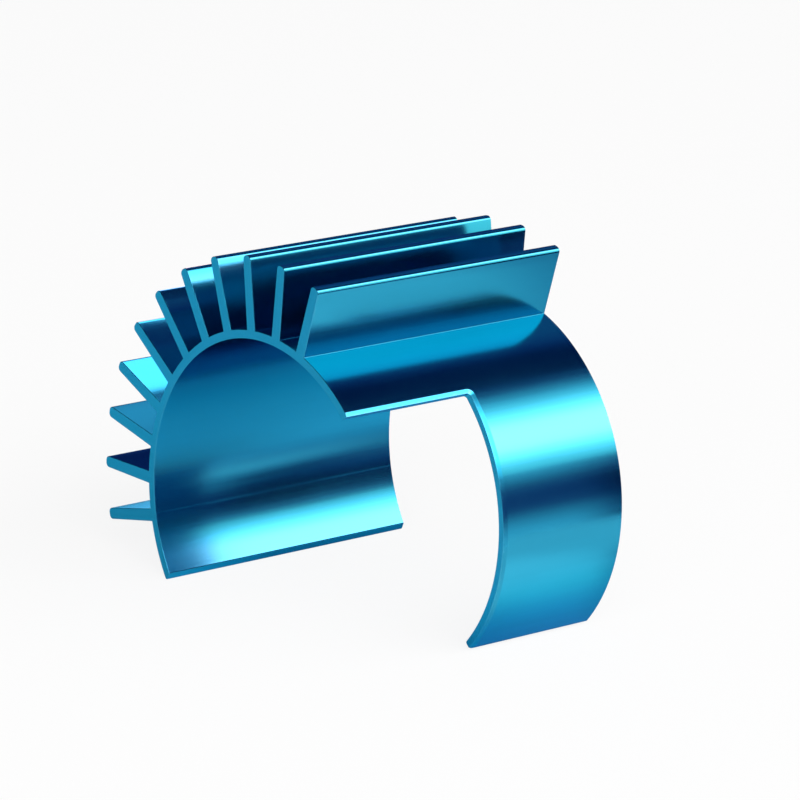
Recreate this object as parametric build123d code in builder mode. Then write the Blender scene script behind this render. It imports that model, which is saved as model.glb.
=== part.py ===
from math import asin, atan2, cos, degrees, radians, sin
import os

from build123d import *

# A clip-on heat sink for a small electric motor. It is one aluminium extrusion: a thin C-shaped clip that
# springs round the motor's can, with radial cooling fins on one side. The bar is sawn to length, then a
# window is milled out of the clip's plain side over the front part of the length.
#
# Frame: the motor's axis is Y and the origin is on it, halfway along. +Z is up and the clip's mouth faces
# straight down. The window is at the front, at -Y. Sizes are in millimetres and degrees, and angles across
# the section are measured at the axis, from +X towards +Z.

# The clip
bore_radius = 18.0  # grips a can of 36 mm
wall = 0.9
length = 30.6
mouth_angle = 106.0  # the open part of the section, centred on straight down
lip_direction = 70.0  # the lip's end lies along this direction across the section
lip_radius = 0.25  # rounding of the wall's two free edges, at the lip and at the arm's tip

# The fins
fin_count = 11
fin_pitch = 12.0
first_fin_angle = 77.5  # the fin beside the window
fin_height = 7.4  # from the outside of the wall to the tip
fin_root_thickness = 1.3
fin_tip_thickness = 1.15
fin_tip_radius = 0.45
fin_root_radius = 0.15

# The window
window_length = 15.3
window_angle = 51.2  # where the window's long edge meets the bore
window_direction = 42.0  # the cut of the long edge lies along this direction across the section
window_corner_radius = 0.3

# The window has a broad flat break on its outer edge. All other sawn and milled edges have a fine one.
window_break_width = 0.44  # along the outside of the wall
window_break_depth = 0.18  # into the cut
edge_break = 0.04

outer_radius = bore_radius + wall
lip_angle = 270 - mouth_angle / 2
arm_tip_angle = mouth_angle / 2 - 90


def on_circle(radius, angle):
    """The point of the section at a radius and an angle."""
    return (radius * cos(radians(angle)), radius * sin(radians(angle)))


# The lip's end leans from the radius, so it leaves the outside of the wall further round than the bore
lip_lean = lip_direction + 180 - lip_angle
lip_outer_angle = lip_angle + lip_lean - degrees(asin(bore_radius * sin(radians(lip_lean)) / outer_radius))
crown_angle = (lip_angle + arm_tip_angle) / 2

# A fin starts halfway into the wall, so that no gap is left between its flat root and the round wall
fin_sunk = wall / 2
fin_length = fin_sunk + fin_height
fin_side_angle = degrees(atan2(fin_length, (fin_root_thickness - fin_tip_thickness) / 2))
fin_span = (fin_count - 1) * fin_pitch

with BuildPart() as heat_sink:
    with BuildSketch(Plane.XZ) as section:
        with BuildLine():
            bore_arc = ThreePointArc(
                on_circle(bore_radius, lip_angle),
                on_circle(bore_radius, crown_angle),
                on_circle(bore_radius, arm_tip_angle),
            )
            outer_arc = ThreePointArc(
                on_circle(outer_radius, lip_outer_angle),
                on_circle(outer_radius, crown_angle),
                on_circle(outer_radius, arm_tip_angle),
            )
            Line(bore_arc @ 0, outer_arc @ 0)
            Line(bore_arc @ 1, outer_arc @ 1)
        make_face()
        # The arm's tip is rounded once the window's edges are broken
        fillet(section.vertices().filter_by_position(Axis.X, -outer_radius, 0), lip_radius)

        with PolarLocations(outer_radius - fin_sunk, fin_count, first_fin_angle, fin_span, endpoint=True):
            Trapezoid(
                fin_root_thickness,
                fin_length,
                fin_side_angle,
                rotation=-90,
                align=(Align.CENTER, Align.MIN),
            )
        fin_corners = section.vertices(Select.LAST).group_by(SortBy.DISTANCE)
        fillet(fin_corners[0], fin_root_radius)
        fillet(fin_corners[-1], fin_tip_radius)
    extrude(amount=length / 2, both=True)

    # The window is cut in from the front end, and leaves the clip's second arm on the rest of the length
    with BuildSketch(Plane.XZ.offset(length / 2)):
        with Locations(on_circle(bore_radius, window_angle)):
            Rectangle(
                2 * outer_radius,
                2 * outer_radius,
                rotation=window_direction - 90,
                align=(Align.MIN, Align.CENTER),
            )
    extrude(amount=-window_length, mode=Mode.SUBTRACT)

    arm_end = heat_sink.faces().filter_by(Axis.Y).sort_by(Axis.Y)[1]
    window_corner = arm_end.edges().filter_by(GeomType.LINE).sort_by(Axis.Z)[-1]
    fillet(window_corner, window_corner_radius)

    # The broad break on the arm's outer edge runs on round the window's corner and along its long edge
    arm_end = heat_sink.faces().filter_by(Axis.Y).sort_by(Axis.Y)[1]
    outer_edge = arm_end.edges().sort_by(Axis.X)[-1]
    arm_outside = heat_sink.faces().filter_by(GeomType.CYLINDER).filter_by(lambda face: outer_edge in face.edges())
    chamfer(outer_edge, window_break_width, window_break_depth, reference=arm_outside[0])

    arm_tip = heat_sink.edges().filter_by(Axis.Y).filter_by_position(Axis.Z, -outer_radius, 0)
    fillet(arm_tip.filter_by_position(Axis.X, 0, outer_radius), lip_radius)

    # The fine break on the arm's bore edge runs on round the corner too
    front_end, arm_end, back_end = heat_sink.faces().filter_by(Axis.Y).sort_by(Axis.Y)
    corner_line = arm_end.edges().filter_by(GeomType.LINE).sort_by(Axis.Z)[-1]
    broad_edge = arm_end.edges().sort_by(SortBy.LENGTH)[-1]
    fine_edges = arm_end.edges().filter_by(lambda edge: edge not in (corner_line, broad_edge))
    chamfer(front_end.edges() + back_end.edges() + fine_edges, edge_break)

heat_sink.part.label = "heat_sink"

os.makedirs("parts", exist_ok=True)
export_step(heat_sink.part, "parts/heat_sink.step")
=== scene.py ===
from math import acos, asin, atan2, cos, degrees, pi, radians, sin

import bmesh
import bpy
from mathutils import Matrix, Vector


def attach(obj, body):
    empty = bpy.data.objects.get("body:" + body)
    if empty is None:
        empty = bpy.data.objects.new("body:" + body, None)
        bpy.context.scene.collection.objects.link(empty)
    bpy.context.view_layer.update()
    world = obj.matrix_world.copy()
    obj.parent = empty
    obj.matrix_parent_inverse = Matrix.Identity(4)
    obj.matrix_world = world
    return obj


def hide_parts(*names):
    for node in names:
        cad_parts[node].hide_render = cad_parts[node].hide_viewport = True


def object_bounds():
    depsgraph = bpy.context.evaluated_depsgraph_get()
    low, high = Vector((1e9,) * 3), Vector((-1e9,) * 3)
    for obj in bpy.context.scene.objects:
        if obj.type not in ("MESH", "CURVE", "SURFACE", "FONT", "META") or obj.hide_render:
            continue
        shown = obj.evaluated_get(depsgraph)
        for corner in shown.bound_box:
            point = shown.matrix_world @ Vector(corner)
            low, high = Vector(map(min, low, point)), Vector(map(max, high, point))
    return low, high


# A clip-on heat sink for a small electric motor: one anodised aluminium extrusion with a C-shaped clip and
# radial fins. The motor's axis is Y, +Z is up and the clip's mouth faces down. The sizes of the part are in
# millimetres and degrees, and those of the studio in metres.

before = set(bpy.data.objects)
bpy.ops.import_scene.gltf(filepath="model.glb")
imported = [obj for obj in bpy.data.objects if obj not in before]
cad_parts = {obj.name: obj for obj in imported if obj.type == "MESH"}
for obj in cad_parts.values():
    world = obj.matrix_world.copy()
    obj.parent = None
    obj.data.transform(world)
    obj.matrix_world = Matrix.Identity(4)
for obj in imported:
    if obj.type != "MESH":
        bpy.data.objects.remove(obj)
cad_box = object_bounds()
MM = 0.001

# The clip
BORE = 18.0
WALL = 0.9
HALF_LENGTH = 15.3
MOUTH_ANGLE = 106.0  # the open part of the section, centred on straight down
LIP_DIRECTION = 70.0  # the lip's end lies along this direction across the section
LIP_ROUND = 0.25  # at the lip and at the arm's tip

# The fins
FIN_COUNT = 11
FIN_PITCH = 12.0
FIRST_FIN_ANGLE = 77.5  # the fin beside the window
FIN_HEIGHT = 7.4
FIN_ROOT = 1.3
FIN_TIP = 1.15
FIN_TIP_ROUND = 0.45
FIN_ROOT_ROUND = 0.05  # less than the solid has, because a larger one mirrors a hard white line

# The window
WINDOW_DIRECTION = 42.0  # the cut of the long edge lies along this direction across the section
WINDOW_ANGLE = 51.2  # where the long edge meets the bore
WINDOW_CORNER = 0.3
BREAK_ALONG = 0.44  # the broad break on its outer edge
BREAK_DEPTH = 0.18
EDGE_BREAK = 0.04  # the fine break on all other sawn and milled edges

# How finely the mesh is made
ARC_STEP = 1.0
ROUND_REACH = 1.5  # an arc's direction at a corner is taken to its point this far away
LIP_STEPS = 10
FIN_STEPS = 8
FLANK_STEPS = 6
CORNER_STEPS = 10
CENTRE_STEPS = 20  # steps to find the centre of a fin's root arc
FRONT_LOOP = 0.4  # a loop of edges this far from the front end
BACK_LOOP = 0.3  # and this far from the fine break at the back end
MIDDLE_LOOP = 1.2  # and this far behind the middle
BEVEL_WIDTH = 0.015
BEVEL_ANGLE = 14.0

OUTER = BORE + WALL
LIP_ANGLE = 270 - MOUTH_ANGLE / 2
TIP_ANGLE = MOUTH_ANGLE / 2 - 90
CUT_NORMAL = WINDOW_DIRECTION - 90
CUT_OFFSET = BORE * cos(radians(WINDOW_ANGLE - CUT_NORMAL))


# The section

def on_circle(radius, angle):
    return Vector((radius * cos(radians(angle)), radius * sin(radians(angle))))


def angle_of(p):
    return degrees(atan2(p.y, p.x))


def turned(p, angle):
    c, s = cos(radians(angle)), sin(radians(angle))
    return Vector((p.x * c - p.y * s, p.x * s + p.y * c))


def cut_angle(radius, away=0.0):
    """Where a circle meets the window's long edge, or a line this much nearer to the arm."""
    return CUT_NORMAL + degrees(acos((CUT_OFFSET + away) / radius))


def arc(radius, start, end):
    """Points of a circle about the origin, from one angle to another, at even steps."""
    count = max(1, round(abs(end - start) / ARC_STEP))
    return [on_circle(radius, start + (end - start) * i / count) for i in range(count + 1)]


def swept(centre, first, last, steps):
    """Points of an arc about a centre, from one of its radii to another."""
    # angle_signed counts clockwise as positive
    turn = -degrees(first.angle_signed(last))
    return [centre + turned(first, turn * i / steps) for i in range(steps + 1)]


def rounded(before, corner, after, radius, steps):
    """The corner of a polyline rounded off: the points of the arc that touches both sides."""
    a = (before - corner).normalized()
    b = (after - corner).normalized()
    half = a.angle(b) / 2
    centre = corner + (a + b).normalized() * radius / sin(half)
    reach = radius / (sin(half) / cos(half))
    return swept(centre, corner + a * reach - centre, corner + b * reach - centre, steps)


def fin_side(side):
    """One side of a fin along +X, from its foot on the wall to the middle of its tip. side is 1 or -1."""
    foot = OUTER - WALL / 2
    tip = OUTER + FIN_HEIGHT
    slope = (FIN_ROOT - FIN_TIP) / 2 / (tip - foot)
    lean = atan2(slope, 1)

    def half(x):
        return FIN_ROOT / 2 - slope * (x - foot)

    # The root's arc touches the wall's circle outside and the side's straight line. Its centre is found in
    # steps.
    x = OUTER
    for _ in range(CENTRE_STEPS):
        y = half(x) + FIN_ROOT_ROUND / cos(lean)
        x = ((OUTER + FIN_ROOT_ROUND) ** 2 - y * y) ** 0.5
    centre = Vector((x, half(x) + FIN_ROOT_ROUND / cos(lean)))
    first = centre * OUTER / centre.length - centre
    last = Vector((-sin(lean), -cos(lean))) * FIN_ROOT_ROUND
    root = swept(centre, first, last, FIN_STEPS)
    corner = Vector((tip, half(tip)))
    end = rounded(Vector((foot, half(foot))), corner, Vector((tip, 0)), FIN_TIP_ROUND, FIN_STEPS)
    flank = [root[-1].lerp(end[0], i / FLANK_STEPS) for i in range(1, FLANK_STEPS)]
    return [Vector((p.x, side * p.y)) for p in root + flank + end]


def lip():
    """The rounded lip, from the bore to the outside."""
    lean = LIP_DIRECTION + 180 - LIP_ANGLE
    out_angle = LIP_ANGLE + lean - degrees(asin(BORE * sin(radians(lean)) / OUTER))
    lip_in = on_circle(BORE, LIP_ANGLE)
    lip_out = on_circle(OUTER, out_angle)
    inner = rounded(on_circle(BORE, LIP_ANGLE - ROUND_REACH), lip_in, lip_out, LIP_ROUND, LIP_STEPS)
    outer = rounded(lip_in, lip_out, on_circle(OUTER, out_angle - ROUND_REACH), LIP_ROUND, LIP_STEPS)
    return inner + outer


def clip_outline():
    """The bore from the window's edge to the lip, then the outside with its fins back to the window."""
    round_lip = lip()
    start = cut_angle(BORE) + degrees(EDGE_BREAK / BORE)
    points = arc(BORE, start, angle_of(round_lip[0]) % 360)[:-1] + round_lip
    for k in reversed(range(FIN_COUNT)):
        middle = FIRST_FIN_ANGLE + k * FIN_PITCH
        fin = [turned(p, middle) for p in fin_side(1) + fin_side(-1)[::-1]]
        points += arc(OUTER, angle_of(points[-1]) % 360, angle_of(fin[0]) % 360)[1:-1] + fin
    end = cut_angle(OUTER) + degrees(BREAK_ALONG / OUTER)
    return points + arc(OUTER, angle_of(points[-1]) % 360, end)[1:]


def arm_outline():
    """The arm's outside down to its tip and its bore back up. Each point comes with its edge's break: how
    far it runs along the wall and how deep it is in the end face."""
    tip_in = on_circle(BORE, TIP_ANGLE)
    tip_out = on_circle(OUTER, TIP_ANGLE)
    outer = rounded(on_circle(OUTER, TIP_ANGLE + ROUND_REACH), tip_out, tip_in, LIP_ROUND, LIP_STEPS)
    inner = rounded(tip_out, tip_in, on_circle(BORE, TIP_ANGLE + ROUND_REACH), LIP_ROUND, LIP_STEPS)
    down = arc(OUTER, cut_angle(OUTER, WINDOW_CORNER), angle_of(outer[0]))[1:-1]
    up = arc(BORE, angle_of(inner[-1]), cut_angle(BORE, WINDOW_CORNER))[1:-1]
    arm = [(p, BREAK_ALONG, BREAK_DEPTH) for p in down]
    for k, p in enumerate(outer):
        t = k / LIP_STEPS
        along = BREAK_ALONG + t * (EDGE_BREAK - BREAK_ALONG)
        depth = BREAK_DEPTH + t * (EDGE_BREAK - BREAK_DEPTH)
        arm.append((p, along, depth))
    arm += [(p, EDGE_BREAK, EDGE_BREAK) for p in inner + up]
    return arm


def window_edges():
    """The window's edge from the front end round the corner to the arm: the points on the outside, on either
    side of the cut face and on the bore, each with its place along Y."""
    edges = {"out": [], "out_cut": [], "in_cut": [], "in": []}
    for k in range(CORNER_STEPS + 1):
        turn = radians(90 * k / CORNER_STEPS)
        c, s = cos(turn), sin(turn)
        away = WINDOW_CORNER * (1 - c)
        y = -WINDOW_CORNER * (1 - s)
        for radius, depth, along, outer, inner in (
            (OUTER, BREAK_DEPTH, BREAK_ALONG, "out", "out_cut"),
            (BORE, -EDGE_BREAK, EDGE_BREAK, "in", "in_cut"),
        ):
            broken = cut_angle(radius, away) + degrees(c * along / radius)
            edges[outer].append((on_circle(radius, broken), y + s * along))
            cut = radius - depth
            edges[inner].append((on_circle(cut, cut_angle(cut, away)), y))
    return edges


# The mesh

def leaning_out(points):
    """The outward directions at a clockwise loop's corners, long enough to move both sides by one."""
    normals = []
    for a, b, c in zip(points[-1:] + points, points, points[1:] + points[:1]):
        one = Vector((a.y - b.y, b.x - a.x)).normalized()
        two = Vector((b.y - c.y, c.x - b.x)).normalized()
        normals.append((one + two) / (1 + one.dot(two)))
    return normals


class Shell:
    """Vertices and faces in the making. A vertex is a point of the section at a place along Y."""

    def __init__(self):
        self.verts = []
        self.faces = []

    def vert(self, p, y):
        self.verts.append((p.x * MM, y * MM, p.y * MM))
        return len(self.verts) - 1

    def skin(self, rows):
        """Faces between each row of vertices and the next."""
        for one, two in zip(rows, rows[1:]):
            for k in range(len(one) - 1):
                self.faces.append((one[k], two[k], two[k + 1], one[k + 1]))

    def sawn_end(self, loop, rim, y):
        """A flat face with a fine break round it. rim holds the vertices where the break starts."""
        inset = [self.vert(p - n * EDGE_BREAK, y) for p, n in zip(loop, leaning_out(loop))]
        rows = [rim + rim[:1], inset + inset[:1]]
        if y < 0:
            self.skin(rows[::-1])
            self.faces.append(inset[::-1])
        else:
            self.skin(rows)
            self.faces.append(inset)


def heat_sink_shell():
    shell = Shell()
    arm = arm_outline()
    edges = window_edges()
    ring = {name: [shell.vert(p, y) for p, y in places] for name, places in edges.items()}
    clip = [edges["in"][0][0]] + clip_outline()[1:-1] + [edges["out"][0][0]]
    arm_points = [p for p, _, _ in arm]
    corner_out = [p for p, _ in edges["out"][1:]]
    corner_in = [p for p, _ in reversed(edges["in"][1:])]
    front_ys = (-HALF_LENGTH + EDGE_BREAK, -HALF_LENGTH + FRONT_LOOP)
    back_break = HALF_LENGTH - EDGE_BREAK

    def to_back(p, first):
        return [first] + [shell.vert(p, y) for y in (MIDDLE_LOOP, back_break - BACK_LOOP, back_break)]

    # Columns along the length, each from front to back
    shared = {0: ring["in"][0], len(clip) - 1: ring["out"][0]}
    clip_columns = []
    for k, p in enumerate(clip):
        at_corner = shared[k] if k in shared else shell.vert(p, -WINDOW_CORNER)
        clip_columns.append([shell.vert(p, y) for y in front_ys] + to_back(p, at_corner))
    out_columns = [to_back(p, first) for p, first in zip(corner_out, ring["out"][1:])]
    arm_columns = [to_back(p, shell.vert(p, along)) for p, along, _ in arm]
    in_columns = [to_back(p, first) for p, first in zip(corner_in, reversed(ring["in"][1:]))]
    around = out_columns + arm_columns + in_columns
    shell.skin(clip_columns)
    shell.skin([clip_columns[-1][2:]] + around + [clip_columns[0][2:]])

    # The cut face and its broken edges, from the front end round the corner
    ahead_of_corner = {"out": clip_columns[-1][:2], "in": clip_columns[0][:2]}
    for name in ("out_cut", "in_cut"):
        ahead_of_corner[name] = [shell.vert(edges[name][0][0], y) for y in front_ys]
    shell.skin([ahead_of_corner[name] + ring[name] for name in ("out", "out_cut", "in_cut", "in")])

    # The arm's front end: a broken edge all round and a flat face
    cut_corners = [edges["in_cut"][-1][0], edges["out_cut"][-1][0]]
    normals = leaning_out(corner_out[-1:] + arm_points + corner_in[:1] + cut_corners)
    inset = [shell.vert(p - n * depth, 0.0) for (p, _, depth), n in zip(arm, normals[1:])]
    rim = [ring["out"][-1]] + [column[0] for column in arm_columns] + [ring["in"][-1]]
    end_face = [ring["out_cut"][-1]] + inset + [ring["in_cut"][-1]]
    shell.skin([rim, end_face])
    shell.faces.append(end_face[::-1])

    front_loop = clip + [edges["out_cut"][0][0], edges["in_cut"][0][0]]
    front_rim = [column[0] for column in clip_columns]
    front_rim += [ahead_of_corner["out_cut"][0], ahead_of_corner["in_cut"][0]]
    shell.sawn_end(front_loop, front_rim, -HALF_LENGTH)
    back_loop = clip + corner_out + arm_points + corner_in
    shell.sawn_end(back_loop, [column[-1] for column in clip_columns + around], HALF_LENGTH)
    return shell


def make_heat_sink():
    shell = heat_sink_shell()
    mesh = bpy.data.meshes.new("heat_sink_body")
    mesh.from_pydata(shell.verts, [], shell.faces)
    whole = bmesh.new()
    whole.from_mesh(mesh)
    bmesh.ops.recalc_face_normals(whole, faces=whole.faces)
    whole.to_mesh(mesh)
    whole.free()
    for face in mesh.polygons:
        face.use_smooth = True
    piece = bpy.data.objects.new("heat_sink_body", mesh)
    bpy.context.scene.collection.objects.link(piece)
    bevel = piece.modifiers.new("edges", "BEVEL")
    bevel.limit_method = "ANGLE"
    bevel.angle_limit = radians(BEVEL_ANGLE)
    bevel.width = BEVEL_WIDTH * MM
    bevel.segments = 2
    bevel.use_clamp_overlap = False
    bevel.harden_normals = True
    return piece


# Materials

class Nodes:
    """A new material, and short names for making and joining its nodes."""

    def __init__(self, name):
        self.material = bpy.data.materials.new(name)
        self.material.use_nodes = True
        self.tree = self.material.node_tree
        self.tree.nodes.clear()

    def node(self, kind, **settings):
        node = self.tree.nodes.new(kind)
        for key, value in settings.items():
            setattr(node, key, value)
        return node

    def put(self, socket, value):
        if isinstance(value, bpy.types.NodeSocket):
            self.tree.links.new(value, socket)
        else:
            socket.default_value = value

    def fill(self, sockets, values):
        for socket, value in zip(sockets, values):
            self.put(socket, value)

    def math(self, operation, *values, clamp=False):
        node = self.node("ShaderNodeMath", operation=operation, use_clamp=clamp)
        self.fill(node.inputs, values)
        return node.outputs[0]

    def plus(self, a, b):
        return self.math("ADD", a, b)

    def minus(self, a, b):
        return self.math("SUBTRACT", a, b)

    def times(self, a, b):
        return self.math("MULTIPLY", a, b)

    def ramp(self, value, low, high, to_low=0.0, to_high=1.0, smooth=True):
        """to_low where the value is at most low, to_high where it is at least high, and a slope between."""
        node = self.node("ShaderNodeMapRange", clamp=True)
        node.interpolation_type = "SMOOTHSTEP" if smooth else "LINEAR"
        self.fill(node.inputs, (value, low, high, to_low, to_high))
        return node.outputs[0]

    def curve(self, value, points):
        """A line through points between 0 and 1."""
        node = self.node("ShaderNodeFloatCurve")
        self.put(node.inputs["Value"], value)
        line = node.mapping.curves[0]
        line.points[0].location = points[0]
        line.points[1].location = points[-1]
        for x, y in points[1:-1]:
            line.points.new(x, y)
        for point in line.points:
            point.handle_type = "VECTOR"
        node.mapping.update()
        return node.outputs[0]

    def mix(self, factor, a, b, blend="MIX"):
        node = self.node("ShaderNodeMix", data_type="RGBA", blend_type=blend)
        self.fill((node.inputs[0], node.inputs[6], node.inputs[7]), (factor, a, b))
        return node.outputs[2]

    def colour(self, red, green, blue):
        node = self.node("ShaderNodeCombineColor")
        self.fill(node.inputs, (red, green, blue))
        return node.outputs[0]

    def split(self, vector):
        node = self.node("ShaderNodeSeparateXYZ")
        self.put(node.inputs[0], vector)
        return tuple(node.outputs)

    def scaled(self, vector, scale):
        node = self.node("ShaderNodeVectorMath", operation="MULTIPLY")
        self.fill(node.inputs, (vector, scale))
        return node.outputs[0]

    def noise(self, vector, scale, detail, roughness=0.5):
        node = self.node("ShaderNodeTexNoise")
        names = ("Vector", "Scale", "Detail", "Roughness")
        self.fill([node.inputs[name] for name in names], (vector, scale, detail, roughness))
        return node.outputs["Fac"]

    def bump(self, height, distance, strength=1.0, normal=None):
        node = self.node("ShaderNodeBump")
        names = ("Height", "Distance", "Strength")
        self.fill([node.inputs[name] for name in names], (height, distance, strength))
        if normal:
            self.put(node.inputs["Normal"], normal)
        return node.outputs[0]

    def geometry(self, name):
        return self.node("ShaderNodeNewGeometry").outputs[name]

    def light_path(self, name):
        return self.node("ShaderNodeLightPath").outputs[name]

    def glow(self, colour, strength):
        node = self.node("ShaderNodeEmission")
        self.fill(node.inputs, (colour, strength))
        return node.outputs[0]

    def blend(self, share, one, two):
        node = self.node("ShaderNodeMixShader")
        self.fill(node.inputs, (share, one, two))
        return node.outputs[0]

    def output(self, shader):
        self.put(self.node("ShaderNodeOutputMaterial").inputs[0], shader)
        return self.material


# The metal
BLUE = (0.014, 0.3, 0.5, 1.0)
EDGE_BLUE = (0.03, 0.45, 0.72, 1.0)  # at grazing angles
# Paler along the sharp edges, where the dye wore thin; this also paints a thin highlight along them
WORN_HIGHLIT_BLUE = (0.05, 0.4, 0.6, 1.0)
WORN_HIGHLIT_SHARE = 0.35
WEAR_AND_HIGHLIGHT_REACH = (0.05, 0.32)  # how far the wear and its painted highlight reach from an edge, at least and at most
ROUGHNESS = (0.14, 0.18)
CLOUD_ROUGHNESS = 0.015  # more or less by this in soft patches
SAWN_ROUGHNESS = 0.08  # more by this on the sawn ends
WORN_ROUGHNESS = 0.05  # more by this along worn edges
MARK_DEPTH = 0.012
MARK_STRENGTH = 0.14
RIDGE_ANGLE = 197.0
RIDGE_HEIGHT = 0.0055
RIDGE_REACH = 0.006  # to either side, in radians
RIDGE_WANDER = 0.004


def metal_marks(n, place, sawn):
    """Fine lines that the extrusion die drew along the length, and the saw's marks across the ends."""
    drawn = n.scaled(place, (1.0, 0.012, 1.0))
    fine = n.noise(drawn, scale=5200.0, detail=2.0, roughness=0.6)
    broad = n.noise(drawn, scale=900.0, detail=3.0, roughness=0.6)
    lines = n.plus(n.times(fine, 0.6), n.times(broad, 0.4))
    saw = n.noise(n.scaled(place, (0.05, 1.0, 1.0)), scale=3800.0, detail=2.0, roughness=0.6)
    return n.mix(sawn, lines, saw)


def worn_and_highlit_edges(n, place, sawn):
    """1 beside the sharp edges of the two ends and of the window, with a ragged border, and 0 elsewhere. The
    metal is paler there, where the dye wore thin, and this also paints a thin highlight along the edges.
    """
    x, y, z = n.split(place)
    from_end = n.minus(HALF_LENGTH * MM, n.math("ABSOLUTE", y))
    across = on_circle(1.0, CUT_NORMAL)
    beyond = n.plus(n.times(x, across.x), n.times(z, across.y))
    inside = n.math("MAXIMUM", n.minus(CUT_OFFSET * MM, beyond), 0.0)
    behind = n.math("MAXIMUM", y, 0.0)
    from_window = n.math("SQRT", n.plus(n.times(inside, inside), n.times(behind, behind)))
    # The window's plane meets the lip too, where there is no edge of it
    far_side = n.math("MAXIMUM", n.times(x, -1.0), 0.0)
    nearest = n.math("MINIMUM", from_end, n.plus(from_window, far_side))
    chips = n.noise(place, scale=2600.0, detail=3.0, roughness=0.6)
    reach = n.ramp(chips, 0.35, 0.75, WEAR_AND_HIGHLIGHT_REACH[0] * MM, WEAR_AND_HIGHLIGHT_REACH[1] * MM)
    worn_and_highlit = n.minus(1.0, n.ramp(n.math("DIVIDE", nearest, reach), 0.35, 1.0))
    return n.times(worn_and_highlit, n.minus(1.0, sawn))


def die_ridge(n, place):
    """1 on one fine ridge along the bore, which a flaw in the die left, and 0 elsewhere."""
    x, _, z = n.split(place)
    # The angle from -X, so that it doesn't jump from 180 to -180 degrees near the ridge
    angle = n.math("ARCTAN2", n.times(z, -1.0), n.times(x, -1.0))
    wander = n.times(n.minus(n.noise(place, scale=90.0, detail=2.0), 0.5), RIDGE_WANDER)
    away = n.math("ABSOLUTE", n.plus(n.minus(angle, radians(RIDGE_ANGLE - 180)), wander))
    from_axis = n.math("SQRT", n.plus(n.times(x, x), n.times(z, z)))
    in_bore = n.math("LESS_THAN", from_axis, (BORE + WALL / 2) * MM)
    return n.times(n.ramp(away, 0.0, RIDGE_REACH, 1.0, 0.0), in_bore)


def anodised():
    n = Nodes("anodised_aluminium")
    place = n.node("ShaderNodeTexCoord").outputs["Object"]
    along = n.split(n.geometry("Normal"))[1]
    # 1 on the sawn ends and 0 on the extruded faces
    sawn = n.ramp(n.math("ABSOLUTE", along), 0.75, 0.97)
    marks = metal_marks(n, place, sawn)
    worn_and_highlit = worn_and_highlit_edges(n, place, sawn)
    cloud = n.noise(n.scaled(place, (1.0, 0.35, 1.0)), scale=160.0, detail=4.0, roughness=0.55)

    by_marks = n.ramp(marks, 0.25, 0.75, 0.96, 1.04, smooth=False)
    by_cloud = n.ramp(cloud, 0.3, 0.7, 0.97, 1.03, smooth=False)
    shade = n.times(by_marks, by_cloud)
    colour = n.mix(1.0, BLUE, n.colour(shade, shade, shade), "MULTIPLY")
    # Paler along the sharp edges: worn dye and a painted edge highlight
    colour = n.mix(n.times(worn_and_highlit, WORN_HIGHLIT_SHARE), colour, WORN_HIGHLIT_BLUE)

    rough = n.ramp(marks, 0.25, 0.75, *ROUGHNESS, smooth=False)
    rough = n.plus(rough, n.ramp(cloud, 0.3, 0.7, -CLOUD_ROUGHNESS, CLOUD_ROUGHNESS, smooth=False))
    rough = n.plus(rough, n.times(sawn, SAWN_ROUGHNESS))
    rough = n.plus(rough, n.times(worn_and_highlit, WORN_ROUGHNESS))

    marked = n.bump(marks, MARK_DEPTH * MM, MARK_STRENGTH)
    raised = n.bump(die_ridge(n, place), RIDGE_HEIGHT * MM, normal=marked)

    shader = n.node("ShaderNodeBsdfPrincipled")
    for name, value in (
        ("Base Color", colour),
        ("Metallic", 1.0),
        ("Roughness", rough),
        ("Specular Tint", EDGE_BLUE),
        ("Coat Weight", 0.1),
        ("Coat Roughness", 0.15),
        ("Coat IOR", 1.6),
        ("Normal", raised),
    ):
        n.put(shader.inputs[name], value)
    return n.output(shader.outputs[0])


piece = make_heat_sink()
piece.data.materials.append(anodised())
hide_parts("heat_sink")
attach(piece, "root")


# The studio, in metres. The floor is white paper. A round canopy of light lies over the object along the
# motor's axis and a card stands beside it, so each wall and fin picks up its own light or dark band. Two
# small cards light the upper sides of two fins.
WHITE = (1.0, 1.0, 1.0, 1.0)
BLACK = (0.0, 0.0, 0.0, 1.0)
PAPER = (0.78, 0.78, 0.78, 1.0)
FLOOR_HALF_SIZE = 4.0
FLOOR_LEVEL = cad_box[0].z

# Pools of light on the floor: the middle, an inner and an outer radius, and the strength
POOLS = (
    ((0.045, 0.03), 0.01, 0.07, 2.0),  # what the arm's outside mirrors
    ((0.027, 0.013), 0.004, 0.018, 3.3),  # and its brightest part
    ((-0.068, 0.02), 0.008, 0.026, 15.0),  # what the lowest fin's upper side mirrors
)
FOOT_X = 0.0155  # under the arm's tip
SLANT = 0.77  # how far the line behind which the bore mirrors the floor goes back per metre to the right
PAPER_GLOW_SHARE = 0.88  # how much of the paper glows for the camera
MIRRORED_GLOW_SHARE = 0.12  # and for what the metal mirrors

# The tints in which the metal mirrors the paper, in shade and in light
UNDER_BORE_TINTS = ((0.45, 1.0, 1.4, 1.0), (0.5, 1.0, 1.15, 1.0))
PAST_ARM_TINTS = ((1.0, 1.0, 1.25, 1.0), (1.2, 1.0, 1.0, 1.0))
IN_FRONT_TINT = (1.4, 1.1, 1.17, 1.0)

# And the light on it, outside the pools and in them, mirrored twice, and at the left
GLOW_TINTS = ((1.3, 1.0, 0.95, 1.0), (2.0, 1.0, 0.82, 1.0))
TWICE_GLOW_TINT = (2.0, 1.0, 1.0, 1.0)
LEFT_GLOW_TINT = (0.3, 1.0, 1.1, 1.0)

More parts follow.
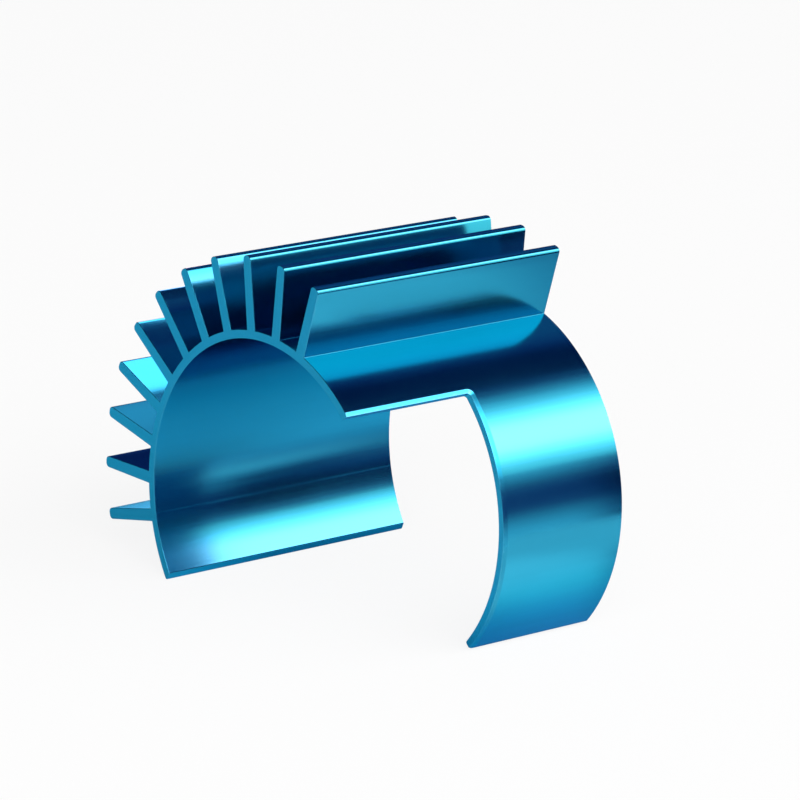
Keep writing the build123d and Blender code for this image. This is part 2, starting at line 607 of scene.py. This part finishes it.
# The canopy's light: an angle round the motor's axis, in degrees, and the strength there
CANOPY_LIGHT = [
    (0, 2.0), (14, 2.0), (20, 1.7), (26, 2.0), (31, 3.7), (38, 4.4), (49, 4.4), (56, 3.7),
    (61, 2.2), (66, 1.0), (72, 0.2), (79, 0.05), (95, 0.05), (104, 0.2), (112, 0.25), (130, 0.25),
    (140, 0.15), (154, 0.2), (162, 0.08), (170, 0.08), (178, 0.3), (180, 0.4),
]
# Its tints in a double mirror image, from dim to bright
CANOPY_TWICE_TINTS = ((2.5, 1.1, 1.5, 1.0), (2.5, 1.1, 0.88, 1.0), (2.5, 1.0, 0.6, 1.0))
CANOPY_RADIUS = 0.9
CANOPY_HALF_LENGTH = 2.4
CANOPY_STEPS = 60

SIDE_X = 0.060
SIDE_TOP = 0.025
SIDE_FRONT = -0.4
SIDE_BACK = 0.6
SIDE_GAP = 0.0002  # over the floor

FIN_CARD_Y = -0.0095
FIN_CARD_AWAY = 0.012
FIN_CARD_HALF_LENGTH = 0.0095

# The camera of the photograph: its place, the line it looks along and what is to its right
CAMERA_PLACE = Vector((0.34414, -0.28993, 0.16703))
AHEAD = Vector((-0.7208, 0.6099, -0.3293)).normalized()
RIGHT = Vector((0.6241, 0.7778, 0.0744)).normalized()
SENSOR_WIDTH = 36.0
LENS = 215.15
CLIP_START = 0.02
CLIP_END = 20.0


def stage_mesh(name, verts, faces, material):
    mesh = bpy.data.meshes.new(name)
    mesh.from_pydata(verts, [], faces)
    mesh.update()
    mesh.materials.append(material)
    obj = bpy.data.objects.new(name, mesh)
    bpy.context.scene.collection.objects.link(obj)
    return obj


def only_mirrored(obj):
    obj.visible_camera = False
    obj.visible_diffuse = False
    obj.visible_shadow = False


def floor_shade(n, x, y):
    """How much of the floor's light the metal mirrors at each place: less under the object, at the arm's
    foot, far back, at the left and behind the arm, and a little more when it is mirrored twice."""
    under = n.times(n.ramp(x, -0.018, -0.002, 1.0, 0.0), n.ramp(x, -0.045, -0.030))
    under = n.times(under, n.ramp(y, -0.012, 0.0, 0.0, 0.45))
    foot = n.ramp(n.math("ABSOLUTE", n.minus(x, FOOT_X)), 0.0005, 0.009, 0.4, 0.0)
    far = n.ramp(y, 0.040, 0.060, 0.0, 0.5)
    left = n.times(n.ramp(x, -0.075, -0.062, 0.8, 0.0), n.ramp(y, 0.02, 0.035))
    # The arm's outside mirrors the floor before this line, and the bore what is behind it
    line = n.minus(y, n.times(x, SLANT))
    behind = n.times(n.ramp(line, 0.001, 0.006, 0.0, 0.4), n.ramp(x, 0.014, 0.024))
    behind = n.times(behind, n.ramp(x, 0.028, 0.034, 1.0, 0.0))
    shade = 1.0
    for amount in (under, foot, far, left, behind):
        shade = n.times(n.minus(1.0, amount), shade)
    return n.times(shade, n.ramp(n.light_path("Glossy Depth"), 1.0, 2.0, 1.0, 1.3))


def floor_pool(n, place):
    pool = 1.0
    for spot, inner, outer, strength in POOLS:
        away = n.node("ShaderNodeVectorMath", operation="DISTANCE")
        n.fill(away.inputs, (place, (*spot, FLOOR_LEVEL)))
        pool = n.plus(n.ramp(away.outputs["Value"], inner, outer, strength, 0.0), pool)
    return pool


def floor_tints(n, x, y, shade, pool):
    """The tints in which the metal mirrors the paper and the light on it."""
    in_front = n.ramp(y, -0.018, -0.010, 1.0, 0.0)
    beyond = n.ramp(x, 0.017, 0.023)
    lit = n.ramp(shade, 0.4, 1.0)
    under_bore = n.mix(lit, *UNDER_BORE_TINTS)
    past_arm = n.mix(lit, *PAST_ARM_TINTS)
    paper = n.mix(in_front, n.mix(beyond, under_bore, past_arm), IN_FRONT_TINT)

    again = n.math("GREATER_THAN", n.light_path("Glossy Depth"), 1.5)
    not_left = n.math("MAXIMUM", n.ramp(x, -0.04, -0.02), in_front)
    light = n.mix(n.ramp(pool, 1.0, 3.0), *GLOW_TINTS)
    light = n.mix(again, light, TWICE_GLOW_TINT)
    light = n.mix(not_left, LEFT_GLOW_TINT, light)
    return paper, light


def floor_material():
    """White paper. It takes the object's shadow and is white to the camera. The metal mirrors it shaded,
    tinted and with pools of light."""
    n = Nodes("floor_white")
    camera = n.light_path("Is Camera Ray")
    mirrored = n.math("ADD", n.light_path("Is Glossy Ray"), n.light_path("Is Transmission Ray"), clamp=True)
    place = n.geometry("Position")
    x, y, _ = n.split(place)
    shade = floor_shade(n, x, y)
    pool = floor_pool(n, place)
    paper_tint, light_tint = floor_tints(n, x, y, shade, pool)

    dim = n.plus(n.minus(1.0, mirrored), n.times(mirrored, shade))
    cast = n.mix(mirrored, WHITE, paper_tint)
    paper = n.node("ShaderNodeBsdfDiffuse")
    n.put(paper.inputs[0], n.mix(1.0, n.mix(dim, BLACK, PAPER), cast, "MULTIPLY"))
    strength = n.plus(camera, n.times(mirrored, n.times(pool, shade)))
    glow = n.glow(n.mix(mirrored, WHITE, light_tint), strength)
    share = n.plus(n.times(camera, PAPER_GLOW_SHARE), n.times(mirrored, MIRRORED_GLOW_SHARE))
    return n.output(n.blend(share, paper.outputs[0], glow))


def mirrored_colour(n, strength):
    """The tint of a light as the metal mirrors it: deep blue where it is dim, paler where it is bright."""
    low = n.ramp(strength, 0.0, 0.28, 0.1, 1.15)
    paler = n.times(n.ramp(strength, 0.9, 3.7, 1.0, 1.6, smooth=False), n.ramp(strength, 3.6, 4.4, 1.0, 2.2))
    red = n.times(low, paler)
    green = n.ramp(strength, 0.0, 0.5, 0.4, 1.0)
    deep = n.ramp(strength, 0.05, 0.3, 1.6, 1.18)
    deep = n.times(deep, n.ramp(strength, 0.3, 2.2, 1.0, 0.62, smooth=False))
    blue = n.plus(deep, n.ramp(strength, 2.2, 3.6, 0.0, 0.25))
    return n.colour(red, green, blue)


def canopy_material():
    """Light that varies with the angle round the motor's axis."""
    n = Nodes("overhead")
    n.material.cycles.emission_sampling = "NONE"
    x, y, z = n.split(n.geometry("Position"))
    bounces = n.light_path("Glossy Depth")
    glossy = n.light_path("Is Glossy Ray")
    angle = n.math("DIVIDE", n.math("ARCTAN2", z, x), pi)
    top = max(strength for _, strength in CANOPY_LIGHT)
    line = n.curve(angle, [(degree / 180, strength / top) for degree, strength in CANOPY_LIGHT])
    # The near end is dimmer: only the fine breaks of the front edges mirror it
    near = n.ramp(y, -0.8, -0.35, 0.88, 0.0)
    strength = n.times(n.times(line, top), n.minus(1.0, n.times(near, glossy)))

    # Only the far half is tinted, which the faces that the photo shows mirror
    tinted = n.ramp(y, -0.2, 0.2)
    once = n.mix(n.times(glossy, tinted), WHITE, mirrored_colour(n, strength))
    twice = n.mix(n.ramp(strength, 0.1, 1.0), *CANOPY_TWICE_TINTS[:2])
    twice = n.mix(n.ramp(strength, 1.0, 4.0), twice, CANOPY_TWICE_TINTS[2])
    again = n.math("GREATER_THAN", bounces, 1.5)
    colour = n.mix(n.times(again, tinted), once, twice)
    strength = n.plus(strength, n.times(again, 0.12))
    return n.output(n.glow(colour, n.times(strength, n.ramp(bounces, 2.0, 3.0, 1.0, 0.6))))


def make_canopy():
    verts = []
    for i in range(CANOPY_STEPS + 1):
        p = on_circle(CANOPY_RADIUS, 180 * i / CANOPY_STEPS)
        verts += [(p.x, -CANOPY_HALF_LENGTH, p.y), (p.x, CANOPY_HALF_LENGTH, p.y)]
    faces = [(2 * i, 2 * i + 1, 2 * i + 3, 2 * i + 2) for i in range(CANOPY_STEPS)]
    canopy = stage_mesh("overhead", verts, faces, canopy_material())
    canopy.visible_camera = False


def side_material():
    """Brightest at the floor, dark halfway up, lighter again at the top, and darker towards the back."""
    n = Nodes("side_card")
    n.material.cycles.emission_sampling = "NONE"
    _, y, z = n.split(n.geometry("Position"))
    low = n.ramp(z, FLOOR_LEVEL, 0.006, 1.1, 0.16)
    low = n.times(low, n.times(n.ramp(y, 0.044, 0.051, 1.0, 0.08), n.ramp(y, 0.056, 0.072, 1.0, 3.4)))
    high = n.times(n.ramp(z, 0.013, 0.0265, 0.02, 0.65), n.ramp(y, 0.045, 0.062, 1.0, 0.4))
    strength = n.plus(low, high)
    return n.output(n.glow(mirrored_colour(n, strength), strength))


def make_side_card():
    """A dim card that stands beside the arm."""
    low = FLOOR_LEVEL + SIDE_GAP
    verts = [
        (SIDE_X, SIDE_FRONT, low), (SIDE_X, SIDE_BACK, low),
        (SIDE_X, SIDE_BACK, SIDE_TOP), (SIDE_X, SIDE_FRONT, SIDE_TOP),
    ]
    only_mirrored(stage_mesh("side_card", verts, [(0, 1, 2, 3)], side_material()))


def fin_card_material(name, colour, strength):
    """A light that shows on one side and in the first mirror image only, and is clear otherwise. strength
    holds pairs of x and strength, from left to right."""
    n = Nodes(name)
    n.material.cycles.emission_sampling = "NONE"
    x = n.split(n.geometry("Position"))[0]
    level = strength[0][1]
    for (left, one), (right, two) in zip(strength, strength[1:]):
        level = n.plus(level, n.ramp(x, left, right, 0.0, two - one))
    first = n.times(n.math("LESS_THAN", n.light_path("Glossy Depth"), 1.5), n.geometry("Backfacing"))
    clear = n.node("ShaderNodeBsdfTransparent").outputs[0]
    return n.output(n.blend(first, clear, n.glow(colour, level)))


def make_fin_card(name, fin_angle, half_height, colour, strength):
    """A small card on the line from the camera that a fin's upper side mirrors."""
    middle = on_circle(OUTER + FIN_HEIGHT / 2, fin_angle) * MM
    side_normal = on_circle(1.0, fin_angle - 90)
    facing = Vector((side_normal.x, 0.0, side_normal.y))
    mirrored = AHEAD - 2 * AHEAD.dot(facing) * facing
    centre = Vector((middle.x, FIN_CARD_Y, middle.y)) + mirrored * FIN_CARD_AWAY
    along = (Vector((0, 1, 0)) - mirrored * mirrored.y).normalized() * FIN_CARD_HALF_LENGTH
    across = mirrored.cross(along).normalized() * half_height
    corners = [centre + a * along + b * across for a, b in ((-1, -1), (1, -1), (1, 1), (-1, 1))]
    verts = [tuple(corner) for corner in corners]
    card = stage_mesh(name, verts, [(0, 1, 2, 3)], fin_card_material(name, colour, strength))
    only_mirrored(card)


def make_floor():
    s = FLOOR_HALF_SIZE
    verts = [(-s, -s, FLOOR_LEVEL), (s, -s, FLOOR_LEVEL), (s, s, FLOOR_LEVEL), (-s, s, FLOOR_LEVEL)]
    stage_mesh("floor", verts, [(0, 1, 2, 3)], floor_material())


def make_world():
    world = bpy.data.worlds.new("studio")
    bpy.context.scene.world = world
    world.use_nodes = True
    background = world.node_tree.nodes["Background"]
    background.inputs[0].default_value = WHITE
    background.inputs[1].default_value = 1.0


def make_camera():
    data = bpy.data.cameras.new("camera")
    data.sensor_width = SENSOR_WIDTH
    data.lens = LENS
    data.clip_start = CLIP_START
    data.clip_end = CLIP_END
    camera = bpy.data.objects.new("camera", data)
    bpy.context.scene.collection.objects.link(camera)
    bpy.context.scene.camera = camera
    turn = Matrix((RIGHT, RIGHT.cross(AHEAD), -AHEAD)).transposed()
    camera.matrix_world = Matrix.Translation(CAMERA_PLACE) @ turn.to_4x4()


make_floor()
make_canopy()
make_side_card()
make_fin_card("fin_card_high", 161.5, 0.0045, (3.0, 1.0, 1.0, 1.0), [(0.0, 3.6)])
low_light = [(-0.0309, 1.0), (-0.0297, 0.08), (-0.0289, 0.4)]
make_fin_card("fin_card_low", 173.5, 0.0028, (1.3, 1.0, 1.0, 1.0), low_light)
make_world()
make_camera()
bpy.context.scene.view_settings.view_transform = "Standard"
